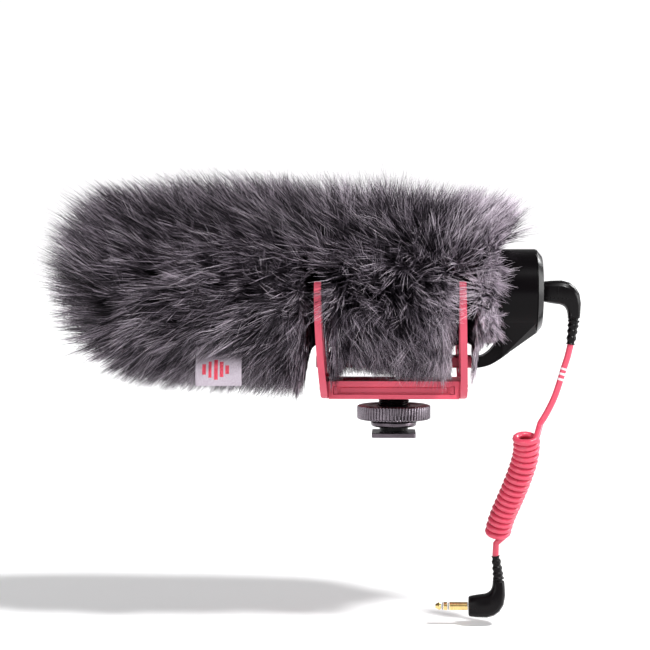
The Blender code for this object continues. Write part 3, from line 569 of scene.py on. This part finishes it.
def dome(rim, depth, radius, count):
    angles = np.linspace(0, math.pi / 2, count)
    return [(rim - depth * math.sin(a), max(radius * math.cos(a), 0.00002)) for a in angles]


def make_cloth_and_foam():
    knit, nodes, links, shader = new_material("knit_backing", (0.012, 0.0105, 0.012), 0.85)
    rows = noise(nodes, links, 900, 1.0, (1.0, 0.35, 0.35))
    tint(nodes, links, shader, rows.outputs["Fac"], (0.006, 0.005, 0.006), (0.028, 0.024, 0.028))
    bump(nodes, links, shader, rows.outputs["Fac"], 0.6, 0.0002)
    sponge, nodes, links, shader = new_material("grey_foam", (0.035, 0.034, 0.036), 0.92)
    cells = noise(nodes, links, 1100, 2.0)
    tint(nodes, links, shader, cells.outputs["Fac"], (0.010, 0.010, 0.011), (0.060, 0.058, 0.062))
    bump(nodes, links, shader, cells.outputs["Fac"], 0.8, 0.0003)
    front, rear = SLEEVE_LOW.x, SLEEVE_HIGH.x
    outer = [(x, SLEEVE_RADIUS) for x in np.linspace(rear - 0.0004, front, 140)]
    inner = [(x, SLEEVE_RADIUS - CLOTH) for x in np.linspace(front, rear - 0.0004, 140)]
    turned_in = [(rear, SLEEVE_RADIUS - 0.6 * CLOTH), (rear, SLEEVE_RADIUS - 0.4 * CLOTH)]
    sleeve = piece("knit_sleeve", lathe("knit_sleeve", outer + inner + turned_in, 96), [knit], "windscreen",
                   "knit_backing", "windscreen_sleeve")
    depth = front - NOSE_LOW.x
    cup = dome(front - 0.0003, depth - 0.0003, SLEEVE_RADIUS, 28)
    inside = dome(front - 0.0003, depth - 0.0003 - CLOTH, SLEEVE_RADIUS - CLOTH, 28)[::-1]
    nose = piece("nose_cloth", lathe("nose_cloth", cup + inside, 96), [knit], "windscreen", "knit_backing",
                 "nose_panel")
    middle, half = (HEM_LOW.x + HEM_HIGH.x) / 2, (HEM_HIGH.x - HEM_LOW.x) / 2
    low, high = SLEEVE_RADIUS + 0.0003, (HEM_HIGH.z - HEM_LOW.z) / 2
    band = [(middle + half * math.cos(a), (low + high) / 2 + (high - low) / 2 * math.sin(a))
            for a in np.linspace(0, 2 * math.pi, 16, endpoint=False)]
    mesh = lathe("hem_band", band, 160)
    for vertex in mesh.vertices:
        turn = math.atan2(vertex.co.z - AXIS_Z, vertex.co.y)
        vertex.co.x += 0.00012 * math.sin(40 * turn)
    piece("hem_band", mesh, [knit], "windscreen", "knit_backing", "hem_elastic")
    rim = FOAM_LOW.x + 0.0127
    body = [(x, FOAM_RADIUS) for x in np.linspace(FOAM_HIGH.x, rim, 120)]
    body += dome(rim, rim - FOAM_LOW.x, FOAM_RADIUS, 22)[1:]
    bore = [(x, max(r, 0.00002)) for x, r in ((TUBE_LOW.x - 0.0012, 0), (TUBE_LOW.x - 0.0010, TUBE_RADIUS))]
    bore += [(x, TUBE_RADIUS + 0.0003) for x in np.linspace(TUBE_LOW.x, FOAM_HIGH.x, 60)]
    mesh = lathe("foam_cover", body + bore, 128)
    pores = np.random.default_rng(SEED + 50).uniform(-0.00022, 0, len(mesh.vertices))
    for vertex, pore in zip(mesh.vertices, pores):
        radius = math.hypot(vertex.co.y, vertex.co.z - AXIS_Z)
        if radius > TUBE_RADIUS + 0.001:
            vertex.co.y *= 1 + pore / radius
            vertex.co.z = AXIS_Z + (vertex.co.z - AXIS_Z) * (1 + pore / radius)
    foam = piece("foam_cover", mesh, [sponge], "foam", "grey_foam", "foam_windshield")


# Label: a woven strip that hangs out of the pile

LABEL_LINE = ((-0.0140, -0.0146), (-0.0232, -0.0222), (-0.0287, -0.0272), (-0.0302, -0.0325),
              (-0.0299, -0.0366))
LABEL_BARS = ((0.19, 0.50), (0.315, 0.80), (0.44, 1.0), (0.565, 0.75), (0.69, 0.45))


def make_label():
    # The label's white is painted darker, standing in for the shade the pile casts on it.
    white, nodes, links, shader = new_material("white_label", (0.40, 0.35, 0.40), 0.75)
    weave = noise(nodes, links, 5200, 1.0, (1.0, 0.3, 0.3))
    tint(nodes, links, shader, weave.outputs["Fac"], (0.35, 0.30, 0.35), (0.45, 0.40, 0.455))
    bump(nodes, links, shader, weave.outputs["Fac"], 0.5, 0.0001)
    red, nodes, links, shader = new_material("label_thread_red", (0.52, 0.035, 0.07), 0.6)
    weave = noise(nodes, links, 2600, 1.0, (1.0, 0.3, 0.3))
    tint(nodes, links, shader, weave.outputs["Fac"], (0.42, 0.022, 0.045), (0.62, 0.05, 0.09))
    bump(nodes, links, shader, weave.outputs["Fac"], 0.5, 0.0001)
    low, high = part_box("side_label")
    line = smooth_line([Vector((0, y, AXIS_Z + z)) for y, z in LABEL_LINE], 16)
    places = np.array([tuple(p) for p in line])
    tangent = np.gradient(places, axis=0)
    tangent /= np.linalg.norm(tangent, axis=1, keepdims=True)
    normal = np.stack([0 * tangent[:, 0], tangent[:, 2], -tangent[:, 1]], axis=1)
    columns = 75
    rows = []
    for i, x in enumerate(np.linspace(low.x + 0.0001, high.x - 0.0001, columns)):
        half = 0.00022 if 0 < i < columns - 1 else 0.00002
        curl = 0.0004 * math.sin(i / columns * 5.2 + 0.6) * np.linspace(0, 1, len(line))[:, None] ** 2
        middle = places + (x, 0, 0) + curl * normal
        rows.append(np.concatenate([middle + half * normal, (middle - half * normal)[::-1]]))
    mesh = grid_mesh("woven_label", rows, False, True)
    width = 2 * len(line)
    share = np.array(along(line)) / along(line)[-1]
    for face in mesh.polygons:
        i, j = divmod(face.index, width)
        across, down = i / (columns - 2), share[j % len(line)]
        for middle, tall in LABEL_BARS:
            if abs(across - middle) < 0.041 and abs(down - 0.77) < 0.140 * tall:
                face.material_index = 1
    bm = bmesh.new()
    bm.from_mesh(mesh)
    bmesh.ops.holes_fill(bm, edges=[e for e in bm.edges if e.is_boundary])
    label = piece("woven_label", bm, [white, red], "windscreen", "white_label", "side_label")


# Pile: strands rooted on the sleeve and the nose panel, combed by zone and parted round the lyres

FRONT_ARM_X, REAR_ARM_X = -0.02805, 0.02805
PLATE_HALF = 0.00135
STRAND_POINTS = 5
TUFT_CELL, LOCK_CELL = 0.0030, 0.0012
SHADES = ((0.0030, 0.0023, 0.0032), (0.018, 0.0145, 0.0190), (0.105, 0.088, 0.108), (0.42, 0.362, 0.425),
          (0.80, 0.72, 0.80))
SHADE_STEPS = (0.47, 0.69, 0.87)      # levels where one shade gives way to the next
BALL_X, BALL_RADIUS = -0.100, 0.0405      # the round front of the pile
NOSE_TIPS_X, NOSE_TIPS_KEPT = -0.1410, 0.55      # tips ahead of this keep this share of what stands out


def smoothstep(x, low, high):
    t = np.clip((x - low) / (high - low), 0, 1)
    return t * t * (3 - 2 * t)


def wavy(seed, u, v, cells_u, cells_v):
    """Smooth value noise from -1 to 1 over u and v in 0..1; v wraps round."""
    values = np.random.default_rng(seed).uniform(-1, 1, (cells_u + 2, cells_v))
    fu, fv = np.clip(u, 0, 1) * cells_u, (v % 1.0) * cells_v
    iu, iv = fu.astype(int).clip(0, cells_u), fv.astype(int) % cells_v
    tu, tv = fu - iu, fv - fv.astype(int)
    tu, tv = tu * tu * (3 - 2 * tu), tv * tv * (3 - 2 * tv)
    near, far = iv, (iv + 1) % cells_v
    return ((values[iu, near] * (1 - tv) + values[iu, far] * tv) * (1 - tu)
            + (values[iu + 1, near] * (1 - tv) + values[iu + 1, far] * tv) * tu)


def meridian():
    """The cover's outline, from the rear hem to the nose's tip: place, x, radius and outward normal."""
    radius, rim = SLEEVE_RADIUS, SLEEVE_LOW.x
    depth = rim - NOSE_LOW.x
    angles = np.linspace(0, math.pi / 2, 40)
    x = np.concatenate([np.linspace(SLEEVE_HIGH.x, rim, 160), rim - depth * np.sin(angles[1:])])
    r = np.concatenate([np.full(160, radius), radius * np.cos(angles[1:])])
    s = np.concatenate([[0], np.cumsum(np.hypot(np.diff(x), np.diff(r)))])
    return s, x, r, np.gradient(r, s), -np.gradient(x, s)


def lyre_x(z, base, lean):
    """Where a lyre's arm is at height z."""
    return base - lean * np.sin(np.clip((z - 0.0205) / (0.0643 - 0.0205), 0, 1) * math.pi / 2)


def outer_reach(x, up):
    """How far from the axis the tips reach, by the tip's place along the axis and its height round it."""
    top = np.interp(x, [-0.128, -0.120, -0.110, -0.098, -0.085, -0.060, -0.045, -0.035, -0.005, 0.005, 0.020,
                        0.031, 0.040, 0.046, 0.054],
                    [0.0385, 0.0430, 0.0440, 0.0450, 0.0480, 0.0502, 0.0496, 0.0486, 0.0498, 0.0466, 0.0450,
                     0.0438, 0.0432, 0.0425, 0.0370])
    low = np.interp(x, [-0.128, -0.120, -0.110, -0.100, -0.085, -0.065, -0.055, -0.045, -0.035, -0.030,
                        -0.024, -0.010, 0.005, 0.020, 0.028, 0.030, 0.041],
                    [0.0250, 0.0330, 0.0382, 0.0402, 0.0402, 0.0402, 0.0415, 0.0430, 0.0425, 0.0400, 0.0318,
                     0.0335, 0.0392, 0.0405, 0.0385, 0.0240, 0.0175])
    beside = np.interp(x, [-0.115, -0.090, -0.030, 0.020, 0.041], [0.0410, 0.0430, 0.0430, 0.0415, 0.0345])
    weight = up * up
    return beside * (1 - weight) + np.where(up > 0, top, low) * weight


def comb(x, up):
    """Lay along X, as a share of the strand's length: towards the nose in front, back at the rear."""
    front = -0.56 * smoothstep(-x, 0.004, 0.066)
    middle = -0.28 * smoothstep(up, 0.1, 0.8) * (1 - smoothstep(x, -0.005, 0.018))
    rear_lay = np.interp(up, [-1, -0.5, 0.0, 0.4, 1], [0.0, 0.20, -0.04, 0.12, 0.44])
    rear = smoothstep(x, 0.004, 0.042) * rear_lay
    return front + middle * (1 - smoothstep(-x, 0.03, 0.06)) + rear


def part_round_lyres(points, rng):
    """Moves strand points out of the slabs that the lyres stand in, more towards their feet."""
    rise = points[..., 2]
    reach = np.hypot(points[..., 1], rise - AXIS_Z)
    inside = smoothstep(reach, 0.0195, 0.0235) * (1 - smoothstep(rise, 0.0645, 0.0700))
    outside = smoothstep(np.abs(points[..., 1]), 0.0368, 0.0385) * smoothstep(rise, 0.044, 0.052)
    inside *= 1 - outside
    foot = 1 - smoothstep(rise, 0.0200, 0.0600)
    stray = rng.uniform(0, 1, (len(points), 1))
    for base, lean in ((FRONT_ARM_X, 0.0021), (REAR_ARM_X, 0.0009)):
        at = lyre_x(rise, base, lean)
        before = points[:, :1, 0] < base
        sign = np.where(before, -1.0, 1.0)
        slot = PLATE_HALF + 0.0005 + 0.0007 * foot + 0.0006 * stray
        if base < 0:
            slot = np.where(before, slot + 0.0042 * smoothstep(0.0440 - rise, 0, 0.026), slot)
        own = (points[..., 0] - at) * sign
        far = slot + 0.0060
        moved = slot + (far - slot) * np.clip((own + 0.006) / (far + 0.006), 0, 1)
        share = inside * (own < far)
        points[..., 0] += (at + sign * moved - points[..., 0]) * share


def keep_off(points, rng):
    """Keeps the pile out of the rail, the housing's arm, the base bar and the label."""
    x, y, z = points[..., 0], points[..., 1], points[..., 2]
    side = np.where(points[:, -1:, 1] < 0, -1.0, 1.0)
    rail = (z < 0.0352) & (z > 0.0262) & (x > -0.034) & (x < 0.034) & (np.abs(y) < 0.0054)
    arm = (z < 0.0430) & (x > 0.0300) & (np.abs(y) < 0.0062)
    points[..., 1] = np.where(rail, side * 0.0056, np.where(arm, side * 0.0064, y))
    over_base = (np.abs(points[..., 1]) < 0.0136) & (np.abs(x) < 0.0312) & (z < 0.0245)
    points[..., 2] = np.where(over_base, 0.0245 + 0.15 * (z - 0.0245).clip(-0.004, 0), z)
    edge = 0.0335 - 0.0040 * rng.uniform(0, 1, (len(points), 1)) ** 2
    label = (x > -0.0800) & (x < -0.0590) & (z < edge) & (y < 0)
    points[..., 1] = np.where(label, np.maximum(y, -0.0272), points[..., 1])


def trim_nose(points):
    """Shortens the strands whose tips reach ahead of NOSE_TIPS_X, the longest ones most."""
    root, tip = points[:, 0, 0], points[:, :, 0].min(axis=1)
    ahead = np.maximum(NOSE_TIPS_X - tip, 0)
    share = 1 - ahead * (1 - NOSE_TIPS_KEPT) / np.maximum(root - tip, 0.001)
    return points[:, :1] + (points - points[:, :1]) * share[:, None, None]


def lock_of(at, turn, cell, seed):
    """The middle of the lock that each strand is in, and four values from -0.4 to 0.4 that a lock shares."""
    s, _, mr, _, _ = meridian()
    row = (at / cell).astype(int)
    radius = np.maximum(np.interp((row + 0.5) * cell, s, mr), 0.003)
    round_it = np.maximum((9 * radius / cell).astype(int), 3)
    column = (turn / (2 * math.pi) * round_it).astype(int)
    own = np.random.default_rng(seed).uniform(-0.4, 0.4, (400, 400, 6))[row % 400, column % 400]
    middle = np.clip((row + 0.5 + own[:, 0]) * cell, 0, s[-1])
    return middle, (column + 0.5 + own[:, 1]) * 2 * math.pi / round_it, own[:, 2:].T


def strand_lines(count, seed, zone, length_share, spread, clump):
    """Centre lines of strands, count x STRAND_POINTS x 3, with a shade number for each."""
    rng = np.random.default_rng(seed)
    s, mx, mr, nx, nr = meridian()
    weight = (mr + 0.004) * ((mx >= zone[0]) & (mx < zone[1]))
    total = np.cumsum(weight)
    at = np.interp(rng.uniform(0, total[-1], count), total, s)
    turn = rng.uniform(0, 2 * math.pi, count)
    tuft_at, tuft_turn, tuft = lock_of(at, turn, TUFT_CELL, SEED + 7)
    lock_at, lock_turn, lock = lock_of(at, turn, LOCK_CELL, SEED + 8)
    u, v = at / s[-1], turn / (2 * math.pi)
    shorter = length_share * (1 + 0.045 * wavy(SEED + 1, u, v, 26, 22))
    shorter = shorter * (1 + 0.06 * tuft[0] + 0.16 * lock[0])
    shorter *= 1.03 - spread * rng.uniform(0, 1, count) ** 1.5
    lay_noise = 0.22 * wavy(SEED + 2, u, v, 11, 8) + 0.34 * wavy(SEED + 3, u, v, 34, 40) + 0.85 * lock[1]
    lay_noise += rng.normal(0, 0.05, count)
    twist = 0.30 * wavy(SEED + 4, u, v, 10, 8) + 0.36 * wavy(SEED + 5, u, v, 32, 38) + 0.85 * lock[2]
    twist += rng.normal(0, 0.05, count)
    droop = rng.uniform(0.02, 0.07, count)
    t = np.linspace(0, 1, STRAND_POINTS)[None, :]

    def grown(place, place_turn):
        x, r = np.interp(place, s, mx), np.interp(place, s, mr)
        out_x, out_r = np.interp(place, s, nx), np.interp(place, s, nr)
        up = np.sin(place_turn)
        nose = smoothstep(-x, 0.094, 0.109)
        lay = comb(x, up) * (1 - nose) + lay_noise * (1 - 0.4 * nose)
        reach = outer_reach(x + 0.023 * (comb(x, up) + 0.5 * lay_noise), up) - SLEEVE_RADIUS
        ahead = np.interp(x, [NOSE_LOW.x, SLEEVE_LOW.x], [BALL_RADIUS - (BALL_X - NOSE_LOW.x), 0.0245])
        length = np.maximum(reach * (1 - nose) + ahead * nose, 0.002) * shorter
        out = t * length[:, None]
        sweep = t ** 1.5 * length[:, None]
        px = x[:, None] + out * out_x[:, None] + sweep * lay[:, None]
        pr = r[:, None] + out * out_r[:, None]
        weight = droop * (1 + 1.4 * (1 - up * up)) * (1 - smoothstep(-x, 0.060, 0.095)) - 0.28 * nose
        sag = weight[:, None] * t ** 1.8 * length[:, None]
        angle = place_turn[:, None] + twist[:, None] * sweep / np.maximum(pr, 0.012)
        return px, pr, angle, sag

    px, pr, angle, sag = grown(at, turn)
    wide = (np.interp(at, s, mr) > 0.006)[:, None]
    gathers = ((lock_at, lock_turn, 0.80 * t ** 0.8), (tuft_at, tuft_turn, clump * t ** 1.4))
    for place, place_turn, pull in gathers:
        cx, cr, c_angle, c_sag = grown(place, place_turn)
        share = pull * wide
        px = px * (1 - share) + cx * share
        pr = pr * (1 - share) + cr * share
        sag = sag * (1 - share) + c_sag * share
        angle = angle + ((c_angle - angle + math.pi) % (2 * math.pi) - math.pi) * share
    px += np.sin(t * 5.0 + 8 * lock[3][:, None]) * t * 0.0007 + rng.normal(0, 0.0005, (count, 1)) * t ** 2
    angle += rng.normal(0, 0.016, (count, 1)) * t ** 2
    points = np.stack([px, pr * np.cos(angle), AXIS_Z + pr * np.sin(angle) - sag], axis=-1)
    part_round_lyres(points, rng)
    keep_off(points, rng)
    points = trim_nose(points)
    x, up = np.interp(at, s, mx), np.sin(turn)
    # Lifts the shade level. A little from the middle back. Much more towards the rear, where the pile is
    # paler and is also painted lighter for the light from the right. Underneath, it is painted bounce light
    # from the floor. A little on the middle's sides.
    pale_and_painted_light = (0.05 * smoothstep(x, -0.040, -0.020) + 0.33 * smoothstep(x, 0.004, 0.036)
            + 0.04 * smoothstep(-up, 0.3, 1.0)
            + 0.06 * smoothstep(x, -0.030, -0.010) * (1 - smoothstep(np.abs(up), 0.2, 0.7)))
    level = (0.30 * rng.uniform(0, 1, count) + 0.88 * (lock[3] + 0.4)
             + 0.08 * wavy(SEED + 6, u, v, 30, 24) + pale_and_painted_light)
    shade = np.digitize(level, SHADE_STEPS)
    return points, shade


def strand_mesh(name, points, shade, width):
    """Three-sided strands that taper to a point. Faces take their shade's slot, darker near the root."""
    count, rows = points.shape[:2]
    tangent = np.gradient(points, axis=1)
    tangent /= np.linalg.norm(tangent, axis=2, keepdims=True) + 1e-12
    helper = np.where(np.abs(tangent[..., :1]) < 0.8, (1.0, 0.0, 0.0), (0.0, 1.0, 0.0))
    side = np.cross(tangent, helper)
    side /= np.linalg.norm(side, axis=2, keepdims=True)
    other = np.cross(tangent, side)
    t = np.linspace(0, 1, rows)
    radius = width * np.interp(t, [0, 0.5, 0.85, 1], [0.8, 1.0, 0.72, 0.2])
    corners = [points + radius[None, :, None] * (math.cos(a) * side + math.sin(a) * other)
               for a in (0, 2 * math.pi / 3, 4 * math.pi / 3)]
    verts = np.stack(corners, axis=2).reshape(-1, 3)
    base = (np.arange(count) * rows * 3)[:, None]
    quads, level = [], []
    for row in range(rows - 1):
        for k in range(3):
            n = (k + 1) % 3
            a, b = row * 3, row * 3 + 3
            quads.append(np.concatenate([base + a + k, base + a + n, base + b + n, base + b + k], axis=1))
            level.append(np.full(count, row))
    quads, level = np.concatenate(quads), np.concatenate(level)
    caps = np.concatenate([np.concatenate([base + 2, base + 1, base], axis=1),
                           base + (rows - 1) * 3 + np.arange(3)[None, :]])
    mesh = bpy.data.meshes.new(name)
    mesh.vertices.add(len(verts))
    mesh.vertices.foreach_set("co", verts.astype(np.float32).ravel())
    mesh.loops.add(quads.size + caps.size)
    mesh.loops.foreach_set("vertex_index", np.concatenate([quads.ravel(), caps.ravel()]).astype(np.int32))
    starts = np.concatenate([np.arange(len(quads)) * 4, quads.size + np.arange(len(caps)) * 3])
    mesh.polygons.add(len(quads) + len(caps))
    mesh.polygons.foreach_set("loop_start", starts.astype(np.int32))
    tiles = 3 * (rows - 1)
    step = np.array([-2, -1, 0, 1])[level]
    index = np.clip(np.tile(shade, tiles) + step, 0, len(SHADES) - 1)
    index = np.concatenate([index, np.zeros(count, int), np.clip(shade + 1, 0, len(SHADES) - 1)])
    mesh.polygons.foreach_set("material_index", index.astype(np.int32))
    mesh.update(calc_edges=True)
    mesh.validate()
    return mesh


def make_pile():
    shades = [new_material(f"pile_shade_{i}", colour, 0.42, Specular_IOR_Level=0.30)[0]
              for i, colour in enumerate(SHADES)]
    zones = (("front", (-0.12, -0.0301), 5), ("middle", (-0.0301, 0.0281), 3), ("rear", (0.0281, 0.05), 1))
    made = 0
    for zone, limits, batches in zones:
        for layer, count, share, spread, width, clump in (("under", 6000, 0.80, 0.40, 0.00013, 0.15),
                                                          ("guard", 7400, 1.00, 0.16, 0.00008, 0.22)):
            for batch in range(batches):
                made += 1
                points, shade = strand_lines(count, SEED + 101 * made, limits, share, spread, clump)
                if layer == "under":
                    shade = np.maximum(shade - 1, 0)
                obj = piece(f"pile_{zone}_{layer}_{batch + 1}", strand_mesh("strands", points, shade, width),
                            shades, "windscreen", "grey_fur")
                if layer == "under" and batch == 0:
                    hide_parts(f"fur_{zone}")


def main():
    make_camera()
    mats = make_slot_materials()
    make_lead(mats)
    make_studio()
    make_lyres(mats)
    make_wheel()
    make_channel_ribs(mats)
    make_plug_grip(mats)
    make_cloth_and_foam()
    make_label()
    make_pile()


main()
